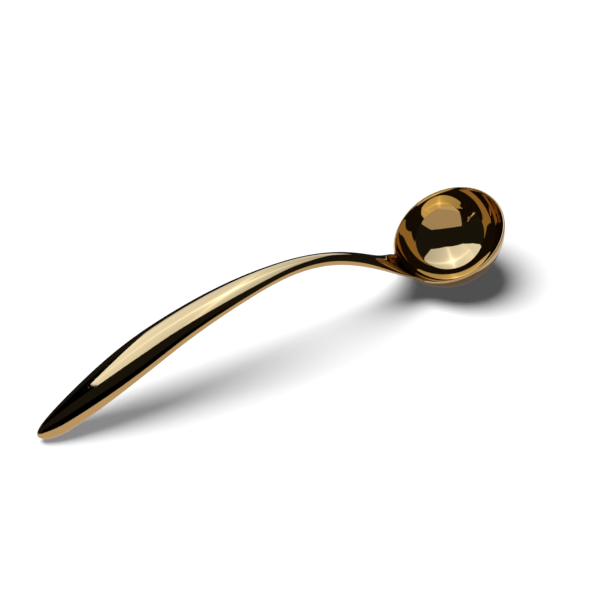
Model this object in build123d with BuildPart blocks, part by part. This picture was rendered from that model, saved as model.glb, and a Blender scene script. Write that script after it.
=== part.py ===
"""Serving ladle with a hollow, arched handle and a round cup, mirror-polished steel.

Frame: +X runs along the ladle from the handle's tip to the cup, Y runs across it and
the ladle is the same on both sides of Y = 0, +Z is up. The ladle stands on the round
underside of its cup and on the underside of its tip, and the origin is on that
surface, under the middle of the length. Millimetres.
"""

from build123d import *
from math import asin, cos, radians, sin
import os

os.makedirs("parts", exist_ok=True)

# ---------------------------------------------------------------- driving dimensions
LENGTH = 347.0  # from the handle's tip to the outermost point of the cup
CUP_R = 40.75  # outside radius of the drawn cup, which is part of a ball
RIM_R = 40.0  # outside radius of the cup's mouth
CUP_TILT = 27.5  # the mouth leans down towards the handle, degrees
CUP_WALL = 1.5

SHELL_WALL = 0.8  # sheet that the two handle halves are pressed from
SEAM_WIDTH = 0.8  # weld between the two handle halves, ground flush
COLLAR_WIDTH = 1.2  # weld around the mouth of the handle, ground flush
CUP_WELD = 0.8  # weld between the neck's root and the cup's wall
TANG_CLEARANCE = 0.1  # gap around the neck's tang inside the handle

# The handle and the neck are one smooth form of oval sections, square to its
# centreline: distance from the tip, height, half width, half thickness.
TIP = (0.0, 6.8)
HANDLE_SECTIONS = [
    (1.2, 6.1, 2.2, 2.2),
    (3.3, 5.5, 3.6, 3.6),
    (7.2, 5.6, 5.4, 5.6),
    (13.0, 7.6, 7.4, 6.9),
    (22.0, 12.2, 9.3, 7.9),
    (36.0, 19.3, 11.5, 8.4),
    (52.0, 27.2, 13.2, 8.1),
    (70.0, 35.3, 13.9, 7.8),
    (95.0, 44.8, 12.8, 7.3),
    (125.0, 53.1, 11.1, 6.2),
    (150.0, 57.6, 9.2, 5.2),
    (170.0, 59.3, 7.2, 4.6),
    (187.0, 58.8, 5.9, 4.3),
    (205.0, 55.7, 5.2, 4.0),
]
NECK_SECTIONS = [
    (220.0, 50.7, 5.4, 3.8),
    (235.0, 43.5, 6.4, 3.6),
    (248.0, 36.1, 7.7, 3.4),
    (258.0, 30.0, 9.6, 3.1),
    (266.0, 24.6, 12.2, 2.8),
    (273.0, 18.8, 15.4, 2.6),
    (280.0, 13.5, 13.5, 2.4),
]
HOLLOW_START = 3  # the section at which the hollow in the handle begins
HOLLOW_END_R = 3.0  # rounding of the hollow's blind end
TANG_SECTIONS = 3  # the tang fills the handle's last two spans
REGION_TOP = 81.5  # the cutting regions reach higher and wider than the ladle
REGION_HALF_WIDTH = 40.75

# ---------------------------------------------------------------- worked out from them
TIP_X = -LENGTH / 2
CUP_CENTRE = (TIP_X + LENGTH - CUP_R, 0, CUP_R)
cup_plane = Plane(
    origin=CUP_CENTRE,
    x_dir=(cos(radians(CUP_TILT)), 0, sin(radians(CUP_TILT))),
    z_dir=(0, -1, 0),
)  # its y runs along the cup's axis, out of the mouth

SECTIONS = HANDLE_SECTIONS + NECK_SECTIONS
JOINT = len(HANDLE_SECTIONS) - 1  # the handle ends and the neck begins at this section

with BuildLine(Plane.XZ) as centreline:
    Spline([(TIP_X + x, z) for x, z in [TIP] + [row[:2] for row in SECTIONS]])
centre_edge = centreline.edge()


def section_plane(x, z):
    """A plane across the form at a point of its centreline; its x runs along Y."""
    point = Vector(TIP_X + x, 0, z)
    return Plane(origin=point, x_dir=(0, 1, 0), z_dir=centre_edge.tangent_at(point))


def oval(x, z, half_width, half_thickness, inset=0.0):
    """One oval section of the form, or of a smaller form inside it."""
    with BuildSketch(section_plane(x, z)) as section:
        Ellipse(half_width - inset, half_thickness - inset)
    return section.sketch.face()


def seam_curve(lift):
    """Points of the parting line between the handle halves, lifted square to it."""
    points = []
    for x, z in [TIP] + [row[:2] for row in SECTIONS]:
        point = Vector(TIP_X + x, 0, z)
        along = centre_edge.tangent_at(point)
        points.append((point.X - lift * along.Z, point.Z + lift * along.X))
    return points


def above_seam(lift):
    """Everything above the parting surface, lifted by the given amount."""
    curve = seam_curve(lift)
    with BuildPart() as region:
        with BuildSketch(Plane.XZ):
            with BuildLine():
                start = (curve[0][0] - SHELL_WALL, curve[0][1])
                Line(start, curve[0])
                Spline(curve)
                Polyline(curve[-1], (curve[-1][0], REGION_TOP), (start[0], REGION_TOP), start)
            make_face()
        extrude(amount=REGION_HALF_WIDTH, both=True)
    return region.part


# ---------------------------------------------------------------- forms that are cut up
# The whole outside of the handle and the neck.
with BuildPart() as outer_form:
    loft(sections=[Vertex(TIP_X + TIP[0], 0, TIP[1])] + [oval(*row) for row in SECTIONS])

# The hollow inside the handle halves, open at the handle's mouth and rounded at the tip.
with BuildPart() as hollow:
    loft(sections=[oval(*row, inset=SHELL_WALL) for row in SECTIONS[HOLLOW_START : JOINT + 2]])
    fillet(hollow.edges().sort_by(Axis.X)[0], radius=HOLLOW_END_R)

joint_plane = section_plane(*SECTIONS[JOINT][:2])
collar_start = joint_plane.offset(-COLLAR_WIDTH / 2)
collar_end = joint_plane.offset(COLLAR_WIDTH / 2)

# The tang on the neck, which enters the hollow.
with BuildPart() as tang_form:
    loft(
        sections=[
            oval(*row, inset=SHELL_WALL + TANG_CLEARANCE)
            for row in SECTIONS[JOINT - TANG_SECTIONS + 1 : JOINT + 2]
        ]
    )

upper_region = above_seam(SEAM_WIDTH / 2)
upper_region_and_seam = above_seam(-SEAM_WIDTH / 2)

# ---------------------------------------------------------------- handle, upper half
with BuildPart() as handle_top_shell:
    add(outer_form.part)
    add(upper_region, mode=Mode.INTERSECT)
    add(hollow.part, mode=Mode.SUBTRACT)
    split(bisect_by=collar_start, keep=Keep.BOTTOM)
handle_top_shell.part.label = "handle_top_shell"
export_step(handle_top_shell.part, "parts/handle_top_shell.step")

# ---------------------------------------------------------------- handle, lower half
with BuildPart() as handle_bottom_shell:
    add(outer_form.part)
    add(upper_region_and_seam, mode=Mode.SUBTRACT)
    add(hollow.part, mode=Mode.SUBTRACT)
    split(bisect_by=collar_start, keep=Keep.BOTTOM)
handle_bottom_shell.part.label = "handle_bottom_shell"
export_step(handle_bottom_shell.part, "parts/handle_bottom_shell.step")

# ---------------------------------------------------------------- weld along the halves
# It runs down one side, round the tip and back up the other side.
with BuildPart() as handle_seam_weld:
    add(outer_form.part)
    add(upper_region_and_seam, mode=Mode.INTERSECT)
    add(upper_region, mode=Mode.SUBTRACT)
    add(hollow.part, mode=Mode.SUBTRACT)
    split(bisect_by=collar_start, keep=Keep.BOTTOM)
handle_seam_weld.part.label = "handle_seam_weld"
export_step(handle_seam_weld.part, "parts/handle_seam_weld.step")

# ---------------------------------------------------------------- weld round the mouth
with BuildPart() as handle_collar_weld:
    add(outer_form.part)
    split(bisect_by=collar_start, keep=Keep.TOP)
    split(bisect_by=collar_end, keep=Keep.BOTTOM)
    add(tang_form.part, mode=Mode.SUBTRACT)
handle_collar_weld.part.label = "handle_collar_weld"
export_step(handle_collar_weld.part, "parts/handle_collar_weld.step")

# ---------------------------------------------------------------- forged neck
# A solid forging: a tang in the handle, a curved neck, and a root that widens and
# thins until it meets the cup's wall.
with BuildPart() as neck:
    add(outer_form.part)
    split(bisect_by=collar_end, keep=Keep.TOP)
    with Locations(CUP_CENTRE):
        Sphere(CUP_R + CUP_WELD, mode=Mode.SUBTRACT)
    add(tang_form.part)
neck.part.label = "neck"
export_step(neck.part, "parts/neck.step")

# ---------------------------------------------------------------- weld at the cup
with BuildPart() as cup_weld:
    with Locations(CUP_CENTRE):
        Sphere(CUP_R + CUP_WELD)
        Sphere(CUP_R, mode=Mode.SUBTRACT)
    add(outer_form.part, mode=Mode.INTERSECT)
cup_weld.part.label = "cup_weld"
export_step(cup_weld.part, "parts/cup_weld.step")

# ---------------------------------------------------------------- drawn cup
# Two arcs about the ball's centre, closed by a half-round lip at the mouth.
mouth_angle = asin(RIM_R / CUP_R)
lip_start = mouth_angle - CUP_WALL / 2 / CUP_R


def on_arc(radius, angle):
    """A point on an arc about the ball's centre, measured from the cup's lowest point."""
    return (radius * sin(angle), -radius * cos(angle))


with BuildPart() as cup:
    with BuildSketch(cup_plane):
        with BuildLine():
            inside_r = CUP_R - CUP_WALL
            bottom, outer_end = on_arc(CUP_R, 0), on_arc(CUP_R, lip_start)
            inner_bottom, inner_end = on_arc(inside_r, 0), on_arc(inside_r, lip_start)
            ThreePointArc(bottom, on_arc(CUP_R, lip_start / 2), outer_end)
            ThreePointArc(outer_end, on_arc(CUP_R - CUP_WALL / 2, mouth_angle), inner_end)
            ThreePointArc(inner_end, on_arc(inside_r, lip_start / 2), inner_bottom)
            Line(inner_bottom, bottom)
        make_face()
    revolve(axis=Axis(CUP_CENTRE, cup_plane.y_dir))
cup.part.label = "cup"
export_step(cup.part, "parts/cup.step")
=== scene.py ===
# %% [markdown]
# # A gold-coated serving ladle
# The real ladle is seven pieces of stainless steel. A drawn cup hangs on a forged neck, and
# the neck's tang is held in a hollow handle, pressed as an upper and a lower half. Three welds
# join them: round the handle's two halves, round the mouth of the handle, and between the neck
# and the cup. They are ground flush, then the whole ladle is mirror-polished and coated with a
# film of gold colour in a vacuum.
#
# A mirror shows every dent in a surface, so all seven pieces are cut from one smooth skin.
# The skin starts as a coarse cage of quads, and a Subdivision Surface turns it smooth.

from math import asin, atan2, copysign, cos, pi, radians, sin, sqrt

import bmesh
import bpy
import numpy as np
from mathutils import Matrix, Vector


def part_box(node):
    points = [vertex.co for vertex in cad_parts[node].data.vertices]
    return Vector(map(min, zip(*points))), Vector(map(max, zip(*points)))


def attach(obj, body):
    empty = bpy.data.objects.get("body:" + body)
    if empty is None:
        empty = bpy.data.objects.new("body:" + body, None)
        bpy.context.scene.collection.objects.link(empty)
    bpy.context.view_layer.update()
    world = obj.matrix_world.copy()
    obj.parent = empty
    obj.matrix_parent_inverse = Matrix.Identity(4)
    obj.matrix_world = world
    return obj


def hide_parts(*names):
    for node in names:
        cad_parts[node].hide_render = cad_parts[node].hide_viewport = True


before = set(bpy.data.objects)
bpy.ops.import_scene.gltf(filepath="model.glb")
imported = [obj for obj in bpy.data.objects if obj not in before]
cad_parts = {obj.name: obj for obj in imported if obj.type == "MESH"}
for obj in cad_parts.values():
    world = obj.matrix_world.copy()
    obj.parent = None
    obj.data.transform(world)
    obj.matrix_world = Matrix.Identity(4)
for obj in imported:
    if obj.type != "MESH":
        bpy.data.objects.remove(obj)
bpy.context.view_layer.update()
MM = 0.001  # the drawing is in millimetres and Blender in metres

# %% [markdown]
# ## The ladle's line
# The handle and the neck are one form. Its centreline rises from the tip, arches over and
# falls to the cup, and oval sections stand square to it. A row is one section: distance from
# the tip, height, half width, half thickness, and how far its sides curl up, all in
# millimetres. Near the cup the sides curl up, so that the flat neck takes on the cup's curve.

# %% Sections along the ladle
TIP_X = -173.5
SECTIONS = [
    (0.0, 5.5, 0.0, 0.0, 0.0),
    (1.2, 5.6, 2.3, 2.6, 0.0),
    (3.3, 5.8, 3.7, 4.4, 0.0),
    (7.2, 6.5, 5.5, 6.1, 0.0),
    (13.0, 8.3, 7.4, 7.4, 0.0),
    (22.0, 12.4, 9.3, 8.1, 0.0),
    (36.0, 19.3, 11.5, 8.4, 0.0),
    (52.0, 27.2, 13.2, 8.1, 0.0),
    (70.0, 35.3, 13.9, 7.8, 0.0),
    (95.0, 44.8, 12.8, 7.3, 0.0),
    (125.0, 53.1, 11.1, 6.2, 0.0),
    (150.0, 57.6, 9.2, 5.2, 0.0),
    (170.0, 59.3, 7.2, 4.6, 0.0),
    (187.0, 58.8, 5.9, 4.3, 0.0),
    (205.0, 55.7, 5.2, 4.0, 0.0),
    (220.0, 50.7, 5.4, 3.8, 0.0),
    (235.0, 43.5, 6.4, 3.6, 0.0),
    (248.0, 35.8, 7.9, 3.4, 0.0),
    (256.0, 30.6, 9.9, 2.8, 0.2),
    (262.5, 26.0, 12.1, 2.1, 0.6),
    (268.0, 22.1, 14.2, 1.5, 1.3),
    (271.8, 18.8, 15.8, 1.0, 2.2),
]
HANDLE_END = 14  # the row at which the hollow handle ends and the neck begins
NECK_ROOT = 17  # the row from which the neck widens to the cup
print("sections:", len(SECTIONS), "length, mm:", SECTIONS[-1][0])

# %% [markdown]
# A natural cubic spline runs through the rows and has no sudden change of bend, which a
# mirror would show as a kink. The tip is as blunt as a ball, so its half width grows as a
# square root does. The spline therefore runs through the squares of the half sizes, which
# grow evenly, and the root is taken afterwards.

# %% The spline
rows = np.array(SECTIONS)
rows[:, 2:4] **= 2
knots = np.concatenate([[0.0], np.cumsum(np.hypot(*np.diff(rows[:, :2], axis=0).T))])
spans = np.diff(knots)
slopes = np.diff(rows, axis=0) / spans[:, None]
system = np.diag(np.concatenate([[1.0], 2 * (spans[:-1] + spans[1:]), [1.0]]))
system += np.diag(np.concatenate([spans[:-1], [0.0]]), -1)
system += np.diag(np.concatenate([[0.0], spans[1:]]), 1)
ends = np.zeros((1, rows.shape[1]))
bends = np.linalg.solve(system, np.concatenate([ends, 6 * np.diff(slopes, axis=0), ends]))


def spline(s):
    """The row at a length s along the centreline, and how it changes with s."""
    k = min(max(int(np.searchsorted(knots, s)) - 1, 0), len(spans) - 1)
    h, a, b = spans[k], knots[k + 1] - s, s - knots[k]
    low, high = bends[k] / 6, bends[k + 1] / 6
    left, right = rows[k] / h - low * h, rows[k + 1] / h - high * h
    value = (low * a**3 + high * b**3) / h + left * a + right * b
    change = 3 * (high * b**2 - low * a**2) / h - left + right
    return value, change


def section(s, inset=0.0):
    """A matrix that lays a unit circle on the oval at s: x across, y up, z along."""
    (x, z, width2, height2, curl), change = spline(s)
    along = Vector((change[0], 0, change[1])).normalized()
    across, up = Vector((0, 1, 0)), Vector((-along.z, 0, along.x))
    half_width, half_height = sqrt(max(width2, 0)) - inset, sqrt(max(height2, 0)) - inset
    columns = (across * half_width, up * half_height, along, Vector((TIP_X + x, 0, z)))
    matrix = Matrix.Identity(4)
    for i, column in enumerate(columns):
        matrix.col[i][:3] = column * MM
    return matrix


print("centreline, mm:", round(float(knots[-1]), 1))

# %% [markdown]
# ## The cage of the handle and the neck
# Each face of the cage carries the number of its piece, in the place of a material number,
# because every operator hands it on to the faces that it makes.
#
# A small grid closes the tip, as a pole would pinch the reflection there. The grid is bent
# so that its border of 20 points is round, and slightly domed. Subdivision pulls a ring of
# 20 points in by 1.6 %, so the cage is that much larger.

# %% The tip
CUP, NECK, TOP, BOTTOM, SEAM, COLLAR, ROOT = range(7)  # the pieces, as numbers on the faces
RING = 20
SWELL = 6 / (4 + 2 * cos(2 * pi / RING))
CAP_ROWS, CAP_COLUMNS = 6, 4  # their sum is half of RING
CAP_AT = 0.12  # the grid lies this far from the tip
CAP_DOME = 0.12


def verts_in(geom):
    """The points among the things that an operator made."""
    return [item for item in geom if isinstance(item, bmesh.types.BMVert)]


def open_edges_in(geom):
    """The edges with one face only, among the things that an operator made."""
    return [item for item in geom if isinstance(item, bmesh.types.BMEdge) and item.is_boundary]


def half(face, matrix):
    """Whether a face of the handle is above or below the parting line."""
    return TOP if (matrix.inverted() @ face.calc_center_median()).y > 0 else BOTTOM


cage = bmesh.new()
made = bmesh.ops.create_grid(cage, x_segments=CAP_COLUMNS, y_segments=CAP_ROWS, size=1.0)
cap_matrix = section(CAP_AT)
side_share = pi * CAP_ROWS / RING  # half of the arc that each long side of the grid takes
for vert in made["verts"]:
    x, y = vert.co.xy
    reach = max(abs(x), abs(y))
    if reach == 0:
        angle = 0
    elif abs(x) >= abs(y):
        angle = side_share * y / abs(x)
        angle = angle if x > 0 else pi - angle
    else:
        angle = (pi / 2 - side_share) * x / abs(y)
        angle = pi / 2 - angle if y > 0 else angle - pi / 2
    across, up = SWELL * reach * cos(angle), SWELL * reach * sin(angle)
    vert.co = cap_matrix @ Vector((across, up, CAP_DOME * (reach**2 - 1)))
for face in cage.faces:
    face.material_index = half(face, cap_matrix)
print("faces on the tip:", len(cage.faces))

# %% [markdown]
# The border of the tip is extruded from station to station, each time turned and scaled to
# the next oval. Stations are close at the blunt tip and up to 9 mm apart on the long arch,
# where less is needed. On the neck's root the ring is also curled up and its edges are made
# a little squarer, as a forging's are.

# %% Stations and rings
FIRST_STEP, STEP_GROWTH, LONGEST_STEP = 0.35, 1.3, 9.0
NECK_STEPS = 5
EDGE_SQUARING = 0.25  # how much fuller than an oval the neck's edges get
FULL_CURL = 1.3  # the curl, in mm, at which they are at their fullest

HANDLE_END_S, NECK_ROOT_S = float(knots[HANDLE_END]), float(knots[NECK_ROOT])
stations, step = [CAP_AT], FIRST_STEP
while stations[-1] < HANDLE_END_S - step:
    stations.append(stations[-1] + step)
    step = min(step * STEP_GROWTH, LONGEST_STEP)
stations[-1] = HANDLE_END_S
stations += [float(value) for value in np.linspace(HANDLE_END_S, NECK_ROOT_S, NECK_STEPS + 1)[1:]]
stations += [float(value) for value in knots[NECK_ROOT + 1 :]]


def curl_up(ring, s):
    """Lifts the sides of the ring at s and squares its edges, by the curl of its section."""
    matrix = section(s)
    curl = max(0.0, float(spline(s)[0][4]))
    if curl == 0:
        return
    squareness = 1 - EDGE_SQUARING * min(1.0, curl / FULL_CURL)
    for vert in ring:
        across, up, along = matrix.inverted() @ vert.co
        across = copysign(abs(across) ** squareness, across)
        up = copysign(abs(up) ** squareness, up)
        lift = curl * MM * min(1.0, across**2) / matrix.col[1].length
        vert.co = matrix @ Vector((across, up + lift, along))


ring_edges = [edge for edge in cage.edges if edge.is_boundary]
for before, after in zip(stations, stations[1:]):
    made = bmesh.ops.extrude_edge_only(cage, edges=ring_edges)["geom"]
    ring, ring_edges = verts_in(made), open_edges_in(made)
    bmesh.ops.transform(cage, matrix=section(after) @ section(before).inverted(), verts=ring)
    for face in {face for edge in ring_edges for face in edge.link_faces}:
        face.material_index = half(face, section(before)) if after <= HANDLE_END_S else NECK
    curl_up(ring, after)
print("stations:", len(stations), "faces:", len(cage.faces))

# %% [markdown]
# ## The cage of the cup
# The real cup is drawn from a round blank into part of a ball, and its mouth leans down
# towards the handle. A place on it is an azimuth round its axis, an angle from the middle of
# its bottom and a radius.

# %% The cup's ball
CUP_R = 40.75  # outside radius of the ball that the cup is part of
RIM_R = 40.0  # outside radius of the cup's mouth
CUP_TILT = radians(27.5)
CUP_WALL = 1.5
CUP_SWELL = 1.003  # the cage is larger than the ball, which subdivision pulls in
MOUTH_ANGLE = asin(RIM_R / CUP_R)

cup_low, cup_high = (Vector(corner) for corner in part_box("cup"))
cup_centre = Vector((cup_high.x - CUP_R * MM, 0, cup_low.z + CUP_R * MM))
cup_frame = Matrix.Translation(cup_centre) @ Matrix.Rotation(-CUP_TILT, 4, "Y")


def on_ball(azimuth, polar, radius, swell=1.0):
    """A point of the cup, with the azimuth counted from the side away from the handle."""
    flat = sin(polar)
    direction = Vector((flat * cos(azimuth), flat * sin(azimuth), -cos(polar)))
    return cup_frame @ (direction * radius * swell * MM)


def ball_place(point):
    """Azimuth, polar angle and radius of a point, the azimuth counted from the handle's side."""
    local = cup_frame.inverted() @ point
    azimuth = atan2(local.y, -local.x)
    return azimuth, atan2(sqrt(local.x**2 + local.y**2), -local.z), local.length / MM


print("centre of the cup, mm:", [round(value / MM, 1) for value in cup_centre])

# %% [markdown]
# A square grid laid on the ball has no pole, where many edges would meet and pinch the
# reflection. It covers the cup's bottom, and its round border is extruded up to the mouth.

# %% The cup's outside
GRID = 14
GRID_REACH = radians(50)
LAST_RING = MOUTH_ANGLE - radians(0.3)
RINGS = [radians(angle) for angle in (56.5, 62.5, 68.0, 72.6, 76.0)] + [LAST_RING]

old_faces = set(cage.faces)
made = bmesh.ops.create_grid(cage, x_segments=GRID, y_segments=GRID, size=1.0)
for vert in made["verts"]:
    x, y = vert.co.xy
    reach = max(abs(x), abs(y))
    if abs(x) >= abs(y):
        azimuth = 0 if reach == 0 else (pi / 4) * y / abs(x)
        azimuth = azimuth if x > 0 else pi - azimuth
    else:
        azimuth = pi / 2 - (pi / 4) * x / abs(y)
        azimuth = azimuth if y > 0 else -azimuth
    vert.co = on_ball(azimuth, reach * GRID_REACH, CUP_R, CUP_SWELL)
border = [e for e in cage.edges if e.is_boundary and e.link_faces[0] not in old_faces]
for polar in RINGS:
    made = bmesh.ops.extrude_edge_only(cage, edges=border)["geom"]
    border = open_edges_in(made)
    for vert in verts_in(made):
        azimuth = ball_place(vert.co)[0]
        vert.co = on_ball(pi - azimuth, polar, CUP_R, CUP_SWELL)
print("faces outside:", len(cage.faces) - len(old_faces))

# %% [markdown]
# The wall gets its thickness by extruding all of the outside inwards. One more loop in the
# middle of the lip stands a little higher, and the subdivision rounds the lip over it, as
# the real one is rounded on a belt.

# %% The cup's wall and lip
LIP_RISE = 0.55

outside = [face for face in cage.faces if face not in old_faces]
made = bmesh.ops.extrude_face_region(cage, geom=outside, use_keep_orig=True)["geom"]
inside = set(verts_in(made))
for vert in inside:
    azimuth, polar = ball_place(vert.co)[:2]
    vert.co = on_ball(pi - azimuth, polar, CUP_R - CUP_WALL, CUP_SWELL)
across_lip = [e for e in cage.edges if (e.verts[0] in inside) != (e.verts[1] in inside)]
made = bmesh.ops.subdivide_edges(cage, edges=across_lip, cuts=1)["geom_inner"]
lip_verts = set(verts_in(made))
for vert in lip_verts:
    azimuth, polar, radius = ball_place(vert.co)
    vert.co = on_ball(pi - azimuth, polar + LIP_RISE / CUP_R, radius)
for face in cage.faces:
    if face not in old_faces:
        face.material_index = CUP
print("cup cage:", len(cage.faces) - len(old_faces), "faces,", len(lip_verts), "points round the lip")

# %% [markdown]
# ## Neck to cup
# Sixteen small faces of the lip are taken away on the handle's side. That leaves a loop of 20
# edges, as many as the neck's last ring has, and a bridge joins the two. The top of the neck
# then runs straight on into the inside of the cup.

# %% Bridge
ROOT_CELLS = 8  # the neck's root is this many cells of the lip wide
ROOT_REACH = ROOT_CELLS / 2 * 2 * pi / (4 * GRID)

lip_faces = [face for face in cage.faces if any(vert in lip_verts for vert in face.verts)]
under_root = [f for f in lip_faces if abs(ball_place(f.calc_center_median())[0]) < ROOT_REACH]
bmesh.ops.delete(cage, geom=under_root, context="FACES")
loops = [edge for edge in cage.edges if edge.is_boundary]
bridge = bmesh.ops.bridge_loops(cage, edges=loops)["faces"]
for face in bridge:
    face.material_index = NECK
bmesh.ops.recalc_face_normals(cage, faces=cage.faces)
still_open = sum(edge.is_boundary for edge in cage.edges)
print("loops:", len(loops), "edges, bridge:", len(bridge), "faces, open edges left:", still_open)

# %% [markdown]
# ## The smooth skin
# Three levels of subdivision give faces about half a millimetre wide. The modifier is worked
# out here once, because the pieces are cut from its result.

# %% Subdivide
LEVELS = 3

cage_mesh = bpy.data.meshes.new("cage")
cage.to_mesh(cage_mesh)
cage.free()
cage_object = bpy.data.objects.new("cage", cage_mesh)
bpy.context.scene.collection.objects.link(cage_object)
smooth = cage_object.modifiers.new("smooth", "SUBSURF")
smooth.levels = smooth.render_levels = LEVELS
evaluated = cage_object.evaluated_get(bpy.context.evaluated_depsgraph_get())
skin_mesh = bpy.data.meshes.new_from_object(evaluated)
bpy.data.objects.remove(cage_object)
skin = bmesh.new()
skin.from_mesh(skin_mesh)
print("skin:", len(skin.verts), "points")

# %% [markdown]
# The punch and the die that draw the cup are turned on a lathe, so the cup is put exactly on
# its two balls. Next to the lip and the neck it stays as subdivided, because there the
# subdivision makes the rounding. Every point then stores the normal of the whole skin.

# %% True the cup
LIP_BAND, LIP_FADE = radians(1.4), radians(1.2)
ROOT_BAND, ROOT_FADE = 2.0, 12.0


def ease(value):
    """0 below 0, 1 above 1, and smooth in between."""
    value = min(max(value, 0.0), 1.0)
    return value * value * (3 - 2 * value)


trued = 0
for vert in skin.verts:
    if any(face.material_index != CUP for face in vert.link_faces):
        continue
    azimuth, polar, radius = ball_place(vert.co)
    past_root = max(0.0, abs(azimuth) - ROOT_REACH) * sin(polar)
    from_root = CUP_R * sqrt((MOUTH_ANGLE - polar) ** 2 + past_root**2)
    below_lip = MOUTH_ANGLE - LIP_BAND - polar
    weight = ease(below_lip / LIP_FADE) * ease((from_root - ROOT_BAND) / ROOT_FADE)
    exact = CUP_R if radius > CUP_R - CUP_WALL / 2 else CUP_R - CUP_WALL
    vert.co = vert.co.lerp(on_ball(pi - azimuth, polar, exact), weight)
    trued += weight == 1
skin.normal_update()
skin_normal = skin.verts.layers.float_vector.new("skin_normal")
for vert in skin.verts:
    vert[skin_normal] = vert.normal
print("points exactly on the balls:", trued)

# %% [markdown]
# ## Welds
# A ground weld is a narrow strip of the same skin. The row of faces beside each joint becomes
# the weld between the two pieces, about as wide as the real bead after grinding.

# %% Mark the welds
def beside(piece, others):
    """Faces of some pieces that share an edge with another piece."""
    found = set()
    for edge in skin.edges:
        numbers = {face.material_index for face in edge.link_faces}
        if len(numbers) == 2 and numbers & set(piece) and numbers & set(others):
            found |= {face for face in edge.link_faces if face.material_index in piece}
    return found


collar_faces, root_faces = beside([NECK], [TOP, BOTTOM]), beside([NECK], [CUP])
seam_faces = beside([TOP], [BOTTOM]) | beside([BOTTOM], [TOP])
for faces, number in ((seam_faces, SEAM), (collar_faces, COLLAR), (root_faces, ROOT)):
    for face in faces:
        face.material_index = number
print("weld faces:", len(seam_faces), len(collar_faces), len(root_faces))

# %% [markdown]
# ## Cutting the skin into pieces
# Each piece is the part of the skin with its number. Sheet is made by extruding the skin
# inwards by the sheet's thickness, and a solid piece is closed where it meets the next one.
# Every point of the skin keeps its stored normal, so that no joint shows in the polish.

# %% Tools for cutting
def cut(number):
    """A copy of the skin with one piece's faces only."""
    piece = skin.copy()
    others = [face for face in piece.faces if face.material_index != number]
    bmesh.ops.delete(piece, geom=others, context="FACES")
    return piece


def thicken(piece, wall):
    """Turns an open skin into sheet of even thickness."""
    layer = piece.verts.layers.float_vector["skin_normal"]
    made = bmesh.ops.extrude_face_region(piece, geom=piece.faces[:], use_keep_orig=True)["geom"]
    for vert in verts_in(made):
        vert.co -= vert[layer] * wall * MM
        vert[layer] = (0, 0, 0)


def close(piece):
    """Fills each open loop of a piece."""
    edges = [edge for edge in piece.edges if edge.is_boundary]
    filled = bmesh.ops.holes_fill(piece, edges=edges, sides=0)["faces"]
    bmesh.ops.triangulate(piece, faces=filled)


def finish_piece(piece, name, node, material):
    """Makes an object of a closed piece and hides the CAD node that it stands for."""
    bmesh.ops.recalc_face_normals(piece, faces=piece.faces)
    open_edges = sum(not edge.is_manifold for edge in piece.edges)
    layer = piece.verts.layers.float_vector["skin_normal"]
    normals = [tuple(vert[layer]) for vert in piece.verts]
    for face in piece.faces:
        face.material_index, face.smooth = 0, True
    mesh = bpy.data.meshes.new(name)
    piece.to_mesh(mesh)
    piece.free()
    mesh.attributes.remove(mesh.attributes["skin_normal"])
    mesh.normals_split_custom_set_from_vertices(normals)
    mesh.materials.append(material)
    made = bpy.data.objects.new(name, mesh)
    bpy.context.scene.collection.objects.link(made)
    made.visible_diffuse = False  # a mirror this small would only tint the paper beside it
    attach(made, "root")
    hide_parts(node)
    triangles = sum(len(polygon.vertices) - 2 for polygon in mesh.polygons)
    print(f"{name}: {triangles} triangles, {open_edges} edges that aren't closed")


print("tools: cut, thicken, close, finish_piece")

# %% [markdown]
# ## The gold-coloured film
# The coating is titanium nitride, less than a thousandth of a millimetre thick, laid on
# polished stainless steel in a vacuum. To the eye it is a metal: it has no colour of its own
# beside its reflections, and each further reflection from gold to gold is deeper in colour.

# %% Colours and nodes
def linear(code):
    """A linear colour from an sRGB hex code."""
    parts = [int(code[i : i + 2], 16) / 255 for i in (0, 2, 4)]
    parts = [part / 12.92 if part <= 0.04045 else ((part + 0.055) / 1.055) ** 2.4 for part in parts]
    return (*parts, 1.0)


def add_node(tree, kind, links=None, values=None, **settings):
    """Adds a node with its settings, its sockets' values, and links from other nodes' outputs."""
    node = tree.nodes.new(kind)
    for key, value in settings.items():
        setattr(node, key, value)
    for socket, value in (values or {}).items():
        node.inputs[socket].default_value = value
    for socket, output in (links or {}).items():
        tree.links.new(output, node.inputs[socket])
    return node


def empty_material(name):
    """A material and its node tree, with no nodes in it."""
    material = bpy.data.materials.new(name)
    material.use_nodes = True
    material.node_tree.nodes.clear()
    return material, material.node_tree


print("film, linear:", [round(part, 3) for part in linear("E1C17F")])

# %% [markdown]
# Even a mirror finish isn't perfect. Rolled sheet keeps faint waves, the polishing wheel
# leaves hairlines along its path, and the film is a shade thinner in places. Waves and lines
# tilt the surface a little, the hairlines also blur it, and the patches change its colour.
# The depths are a few thousandths of a millimetre, as deeper ones would look hammered.

# %% The film
FILM_COLOUR, FILM_SHADE = "E1C17F", "D8B674"
PATCH = 45.0  # size of the patches in which the film is a shade thinner, in mm
WAVE = 16.0  # width of the faint waves of the sheet, in mm
HAIR_LENGTH, HAIR_WIDTH = 3.0, 1.5  # the hairs that blur, beside the lines that tilt
FAINT_HAIR, CLEAR_HAIR = 0.35, 0.8  # the noise at which hairs begin and are at their full blur


def marks(tree, place, length, width, detail=2.0):
    """A noise between 0 and 1 with marks of the given length along X and width across, in mm."""
    scale = Vector((1 / length, 1 / width, 1 / width)) / MM
    grain = add_node(tree, "ShaderNodeMapping", {"Vector": place}, {"Scale": scale})
    values = {"Scale": 1.0, "Detail": detail}
    return add_node(tree, "ShaderNodeTexNoise", {"Vector": grain.outputs[0]}, values).outputs["Fac"]


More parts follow.
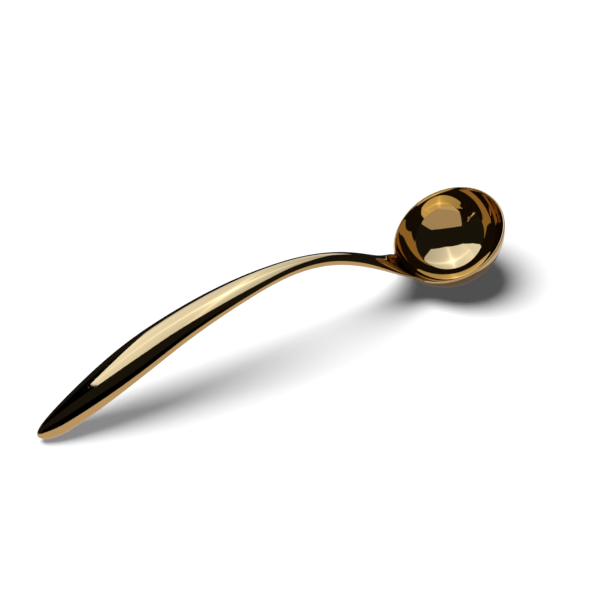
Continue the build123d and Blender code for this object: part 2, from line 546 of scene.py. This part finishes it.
def gold_mirror(name, line_length, line_width, line_depth, wave_depth, smoothest, roughest):
    """Polished steel with the film. Lines and waves are in mm."""
    material, tree = empty_material(name)
    place = add_node(tree, "ShaderNodeTexCoord").outputs["Object"]

    patches = {"Factor": marks(tree, place, PATCH, PATCH)}
    shades = {"A": linear(FILM_COLOUR), "B": linear(FILM_SHADE)}
    colour = add_node(tree, "ShaderNodeMix", patches, shades, data_type="RGBA")

    hairs = {"Value": marks(tree, place, line_length * HAIR_LENGTH, line_width * HAIR_WIDTH, 1.0)}
    blur = {"From Min": FAINT_HAIR, "From Max": CLEAR_HAIR, "To Min": smoothest, "To Max": roughest}
    rough = add_node(tree, "ShaderNodeMapRange", hairs, blur)

    waves = {"Height": marks(tree, place, WAVE * 2, WAVE, 0.0)}
    tilt = add_node(tree, "ShaderNodeBump", waves, {"Distance": wave_depth * MM}).outputs[0]
    lines = {"Height": marks(tree, place, line_length, line_width), "Normal": tilt}
    tilt = add_node(tree, "ShaderNodeBump", lines, {"Distance": line_depth * MM}).outputs[0]

    links = {"Base Color": colour.outputs["Result"], "Roughness": rough.outputs["Result"], "Normal": tilt}
    shader = add_node(tree, "ShaderNodeBsdfPrincipled", links, {"Metallic": 1.0})
    add_node(tree, "ShaderNodeOutputMaterial", {"Surface": shader.outputs["BSDF"]})
    return material


# %% [markdown]
# The neck and the handle are polished lengthwise on a wheel, so their lines are long. The
# real lines are a few hundredths of a millimetre wide and are drawn ten times as wide, as
# they would not show otherwise. The cup is polished inside with a round bob, which leaves
# short, broad marks. The welds are ground before they are polished and stay a little rougher.

# %% Three finishes
polished = gold_mirror("gold_film_on_mirror_steel", 30.0, 0.5, 0.003, 0.06, 0.02, 0.07)
bobbed = gold_mirror("gold_film_on_drawn_steel", 6.0, 3.0, 0.004, 0.03, 0.02, 0.05)
ground = gold_mirror("gold_film_on_ground_weld", 2.0, 0.4, 0.003, 0.06, 0.03, 0.10)
print("finishes:", [material.name for material in (polished, bobbed, ground)])

# %% [markdown]
# ## The cup
# The cup is the one piece that holds the drink or the soup. It is drawn from a disc of
# 1.5 mm sheet, trimmed, and its lip is rounded. Its skin is open only where the weld joins
# it, and that one hole is filled.

# %% Drawn cup
cup = cut(CUP)
close(cup)
finish_piece(cup, "drawn_cup", "cup", bobbed)

# %% [markdown]
# ## The neck
# The neck is forged from bar. At its upper end it steps down to a tang, which slides into
# the hollow handle and takes the load of a full cup. Its open end is extruded back into the
# handle, a tenth of a millimetre smaller than the hollow all round.

# %% Forged neck
SHELL_WALL = 0.8
TANG_GAP = 0.1
TANG_STATIONS = (1.0, 8.0, 16.0, 26.0)  # how far the tang reaches into the handle


def add_tang(piece):
    """Extrudes the neck's open end into the handle, a little smaller than its hollow."""
    layer = piece.verts.layers.float_vector["skin_normal"]
    start = section(HANDLE_END_S)
    edges = [edge for edge in piece.edges if edge.is_boundary]
    edges = [e for e in edges if abs((start.inverted() @ e.verts[0].co).z) < TANG_STATIONS[1] * MM]
    before = start
    for reach in (0.0,) + TANG_STATIONS:
        after = section(HANDLE_END_S - reach, SHELL_WALL + TANG_GAP)
        made = bmesh.ops.extrude_edge_only(piece, edges=edges)["geom"]
        ring, edges = verts_in(made), open_edges_in(made)
        bmesh.ops.transform(piece, matrix=after @ before.inverted(), verts=ring)
        for vert in ring:
            vert[layer] = (0, 0, 0)
        before = after


neck = cut(NECK)
add_tang(neck)
close(neck)
finish_piece(neck, "forged_neck", "neck", polished)

# %% [markdown]
# ## The handle and its welds
# A thick solid handle would be heavy and would get hot, so it is hollow: two halves are
# pressed from 0.8 mm sheet and welded along both sides and round the tip. A second weld runs
# round the mouth of the handle, over the neck's tang. Halves and welds are all as thick as
# the sheet, so one loop makes them.

# %% Handle
for number, name, node, slot, material in (
    (TOP, "upper_half_of_handle", "handle_top_shell", "gold_coated_steel", polished),
    (BOTTOM, "lower_half_of_handle", "handle_bottom_shell", "gold_coated_steel", polished),
    (SEAM, "weld_of_the_halves", "handle_seam_weld", "gold_coated_weld", ground),
    (COLLAR, "weld_of_the_collar", "handle_collar_weld", "gold_coated_weld", ground),
):
    sheet = cut(number)
    thicken(sheet, SHELL_WALL)
    finish_piece(sheet, name, node, material)

# %% [markdown]
# The weld between the neck and the cup goes right through, from the outside to the inside.
# Its strip of skin is closed on both sides, against the neck and against the cup.

# %% Weld of the root
root_weld = cut(ROOT)
close(root_weld)
finish_piece(root_weld, "weld_of_the_root", "cup_weld", ground)
skin.free()

# %% [markdown]
# ## The camera
# The camera is a metre away, to the front left and 40 degrees up.
# A long lens keeps the near tip and the far cup in proportion. `back` points from the ladle
# to the camera, and a camera looks along its own minus Z.

# %% Camera
AIM = Vector((34.53, 28.96, 0.0)) * MM
AZIMUTH, ELEVATION, DISTANCE = radians(-32.255), radians(39.992), 1.0

flat = cos(ELEVATION)
back = Vector((sin(AZIMUTH) * flat, -cos(AZIMUTH) * flat, sin(ELEVATION)))
lens = bpy.data.cameras.new("camera")
lens.lens, lens.sensor_width = 87.663, 36.0
camera = bpy.data.objects.new("camera", lens)
camera.location = AIM + back * DISTANCE
camera.rotation_euler = back.to_track_quat("Z", "Y").to_euler()
bpy.context.scene.collection.objects.link(camera)
bpy.context.scene.camera = camera
print("camera, m:", [round(value, 3) for value in camera.location])

# %% [markdown]
# ## The paper floor
# The ladle lies on white paper, which is matt and takes its soft shadow. In the studio a
# mirror shows everything around it, so what the eye sees beside the ladle and what the metal
# shows are lit separately. The floor is therefore hidden from glossy rays, and cards that
# only glossy rays can see take its place.

# %% Paper
FLOOR_REACH, FLOOR_Z = 4.0, -0.0001


def plain(name, colour, strength=0.0):
    """Matt paper, or a glowing card when it has a strength."""
    material, tree = empty_material(name)
    if strength:
        values = {"Color": colour, "Strength": strength}
        shader = add_node(tree, "ShaderNodeEmission", values=values)
    else:
        shader = add_node(tree, "ShaderNodeBsdfDiffuse", values={"Color": colour})
    add_node(tree, "ShaderNodeOutputMaterial", {"Surface": shader.outputs[0]})
    return material


def card(name, corners, material):
    """A flat sheet with the given corners, in metres; it isn't part of the ladle."""
    shape = bmesh.new()
    shape.faces.new([shape.verts.new(corner) for corner in corners])
    mesh = bpy.data.meshes.new(name)
    shape.to_mesh(mesh)
    shape.free()
    mesh.materials.append(material)
    made = bpy.data.objects.new(name, mesh)
    bpy.context.scene.collection.objects.link(made)
    print("card:", name, len(corners), "corners")
    return made


def floor_corners(far, height):
    """The corners of a floor that ends at Y = far."""
    near = -FLOOR_REACH
    return [(x, y, height) for x, y in ((near, near), (-near, near), (-near, far), (near, far))]


floor = card("floor", floor_corners(FLOOR_REACH, FLOOR_Z), plain("white_paper", linear("F4F4F4")))
floor.visible_glossy = False

# %% [markdown]
# ## What the metal shows
# These cards glow and are seen only in reflections, so they light nothing. A nearly white
# sheet stands for the lit paper in front of the ladle, and a darker disc for the shadow under the
# cup, so that the underside of the cup darkens towards the table.

# %% Cards at the floor
PAPER_WHITE = (1.0, 0.88, 0.89, 1)
LIT_PAPER_END = 0.03  # the lit paper ends here, just behind the ladle's axis
LIT_PAPER_GLOW, SHADED_PAPER_GLOW = 0.67, 0.15
SHADE_CENTRE, SHADE_SIZE, SHADE_CORNERS = (0.138, -0.004), (0.048, 0.042), 64


def group_of(name, pieces):
    """A collection with the named pieces, for linking lights to."""
    group = bpy.data.collections.new(name)
    for piece in pieces:
        group.objects.link(bpy.data.objects[piece])
    return group


def glow(name, corners, material, only=()):
    """A card that only glossy rays see; if pieces are named, only those show it."""
    made = card(name, corners, material)
    made.visible_camera = made.visible_diffuse = made.visible_shadow = False
    material.cycles.emission_sampling = "NONE"
    if only:
        made.light_linking.receiver_collection = group_of(name, only)


turns = [2 * pi * i / SHADE_CORNERS for i in range(SHADE_CORNERS)]
middle, size = SHADE_CENTRE, SHADE_SIZE
disc = [(middle[0] + size[0] * cos(t), middle[1] + size[1] * sin(t), FLOOR_Z) for t in turns]
lit_paper = plain("paper_in_the_metal", PAPER_WHITE, LIT_PAPER_GLOW)
glow("paper_in_the_metal", floor_corners(LIT_PAPER_END, 2 * FLOOR_Z), lit_paper)
glow("shadow_in_the_metal", disc, plain("shadow_in_the_metal", PAPER_WHITE, SHADED_PAPER_GLOW))

# %% [markdown]
# ## The softbox
# A softbox is a lamp behind stretched white fabric. It makes the large cream highlight on the
# handle and in the cup. The fabric is a little brighter to the left, and where the lamp is
# nearest it has a hot spot with two crossed streaks, from the folds of the fabric.

# %% Softbox fabric
RIGHT = Vector((cos(AZIMUTH), sin(AZIMUTH), 0))
AWAY = Vector((-sin(AZIMUTH), cos(AZIMUTH), 0))
COOL_WHITE = (0.525, 0.61, 0.935, 1)
SOFTBOX_UP = 1.0
HOT_SPOT = (-0.15, 0.49)
HOT_SPOT_SIZE = 0.12
STREAK_LENGTH, STREAK_WIDTH, STREAK_TURNS = 0.7, 0.05, (8, 98)
STREAK_GAIN, FABRIC_STRENGTH, SIDE_GAIN = 1.07, 1.64, -0.6


def studio(right, away, up):
    """A place in the studio, in metres, counted along the camera's own directions."""
    return RIGHT * right + AWAY * away + Vector((0, 0, up))


def falloff(tree, distance, width):
    """1 at no distance, falling to a half at the width."""
    ratio = add_node(tree, "ShaderNodeMath", {0: distance}, {1: width}, operation="DIVIDE").outputs[0]
    square = add_node(tree, "ShaderNodeMath", {0: ratio, 1: ratio}, {2: 1.0}, operation="MULTIPLY_ADD")
    return add_node(tree, "ShaderNodeMath", {1: square.outputs[0]}, {0: 1.0}, operation="DIVIDE").outputs[0]


def softbox_fabric():
    """White fabric with a hot spot and two crossed streaks, where the lamp shines through."""
    material, tree = empty_material("softbox_fabric")
    place = {0: add_node(tree, "ShaderNodeTexCoord").outputs["Object"]}
    hot_spot = {1: studio(*HOT_SPOT, SOFTBOX_UP)}
    offset = add_node(tree, "ShaderNodeVectorMath", place, hot_spot, operation="SUBTRACT").outputs[0]
    far = add_node(tree, "ShaderNodeVectorMath", {0: offset}, operation="LENGTH").outputs["Value"]
    spread = falloff(tree, far, STREAK_LENGTH)
    total = falloff(tree, far, HOT_SPOT_SIZE)
    for turn in STREAK_TURNS:
        across = {1: RIGHT * cos(radians(turn)) + AWAY * sin(radians(turn))}
        side = add_node(tree, "ShaderNodeVectorMath", {0: offset}, across, operation="DOT_PRODUCT")
        streak = {0: falloff(tree, side.outputs["Value"], STREAK_WIDTH), 1: spread}
        faded = add_node(tree, "ShaderNodeMath", streak, operation="MULTIPLY").outputs[0]
        total = add_node(tree, "ShaderNodeMath", {0: faded, 1: total}, operation="ADD").outputs[0]
    to_the_side = {1: RIGHT * SIDE_GAIN}
    side = add_node(tree, "ShaderNodeVectorMath", {0: offset}, to_the_side, operation="DOT_PRODUCT")
    side_light = {0: side.outputs["Value"]}
    fabric = add_node(tree, "ShaderNodeMath", side_light, {1: FABRIC_STRENGTH}, operation="ADD")
    both = {0: total, 2: fabric.outputs[0]}
    strength = add_node(tree, "ShaderNodeMath", both, {1: STREAK_GAIN}, operation="MULTIPLY_ADD")
    links = {"Strength": strength.outputs[0]}
    shader = add_node(tree, "ShaderNodeEmission", links, {"Color": COOL_WHITE})
    add_node(tree, "ShaderNodeOutputMaterial", {"Surface": shader.outputs[0]})
    return material


print("hot spot, m:", [round(value, 2) for value in studio(*HOT_SPOT, SOFTBOX_UP)])

# %% [markdown]
# The softbox hangs a metre above the ladle, and its near edge draws the line between light
# and dark along the handle. A backdrop behind it is lit too, down to a height that leaves the
# thin dark line on the handle's far side. The cup sees two things more: a second softbox to
# the left, and a white board below the camera, which draws the band under the cup's near lip.

# %% Cards above the floor
SOFTBOX = ((0.95, 1.70), (0.74, 0.42), (0.50, -0.02), (0.02, -0.14), (-0.72, -0.11), (-1.10, 0.45),
           (-1.5, 1.7))
SECOND_SOFTBOX = ((-0.72, -0.11), (-1.10, 0.45), (-1.5, 1.7), (-3.0, 1.7), (-2.6, 0.9), (-1.45, 0.18))
BACKDROP = ((0.95, 1.70, 1.0), (-1.5, 1.7, 1.0), (-1.8, 2.6, 0.9), (1.3, 3.2, 0.4))
BOARD = ((-1.10, -1.10, 0.78), (-0.10, -0.90, 0.79), (0.45, -0.56, 0.60), (0.94, -0.72, 0.45),
         (0.9, -1.2, 0.1), (-0.2, -1.6, -0.15), (-1.0, -1.6, 0.0))
SECOND_SOFTBOX_GLOW, BACKDROP_GLOW, BOARD_GLOW = 1.95, 1.7, 0.5

glow("softbox", [studio(*corner, SOFTBOX_UP) for corner in SOFTBOX], softbox_fabric())
second = plain("second_softbox", COOL_WHITE, SECOND_SOFTBOX_GLOW)
glow("second_softbox", [studio(*corner, SOFTBOX_UP) for corner in SECOND_SOFTBOX], second, ["drawn_cup"])
backdrop = plain("backdrop_light", COOL_WHITE, BACKDROP_GLOW)
glow("backdrop_light", [studio(*corner) for corner in BACKDROP], backdrop)
board = plain("white_board", PAPER_WHITE, BOARD_GLOW)
glow("board_under_camera", [studio(*corner) for corner in BOARD], board, ["drawn_cup"])

# %% [markdown]
# ## The lamps
# The lamps light only the paper. The key comes from above, a little from behind and the left,
# and is as soft as a large screen. The thin handle lies close to the paper and would have a
# dark shadow, so a part of the key passes it by. A weak fill lightens all the shadows.

# %% Lamps
KEY_FROM, KEY_ANGLE, KEY_STRENGTH = (-0.30, 0.32, 1.0), 43, 3.3
PASSING_STRENGTH = 0.65
FILL_FROM, FILL_ANGLE, FILL_STRENGTH = (-0.1, 0.1, 1.0), 70, 0.17
CUP_PARTS = ("drawn_cup", "weld_of_the_root", "forged_neck")
ROOM_GREY = 0.013  # the dark room, which the metal shows between the cards


def lamp(name, toward_light, angle, strength):
    """A far, soft lamp, as a large screen a few metres away gives."""
    light = bpy.data.lights.new(name, "SUN")
    light.energy, light.angle = strength, radians(angle)
    made = bpy.data.objects.new(name, light)
    made.rotation_euler = Vector(toward_light).to_track_quat("Z", "Y").to_euler()
    made.visible_camera = made.visible_glossy = False
    bpy.context.scene.collection.objects.link(made)
    print("lamp:", name, strength)
    return made


lamp("key", KEY_FROM, KEY_ANGLE, KEY_STRENGTH)
passing = lamp("key_past_handle", KEY_FROM, KEY_ANGLE, PASSING_STRENGTH)
passing.light_linking.blocker_collection = group_of("cup_and_neck", CUP_PARTS)
lamp("fill", FILL_FROM, FILL_ANGLE, FILL_STRENGTH)
world = bpy.data.worlds.new("studio")
world.use_nodes = True
room = (ROOM_GREY, ROOM_GREY, ROOM_GREY, 1)
world.node_tree.nodes["Background"].inputs["Color"].default_value = room
bpy.context.scene.world = world
bpy.context.scene.view_settings.view_transform = "Standard"
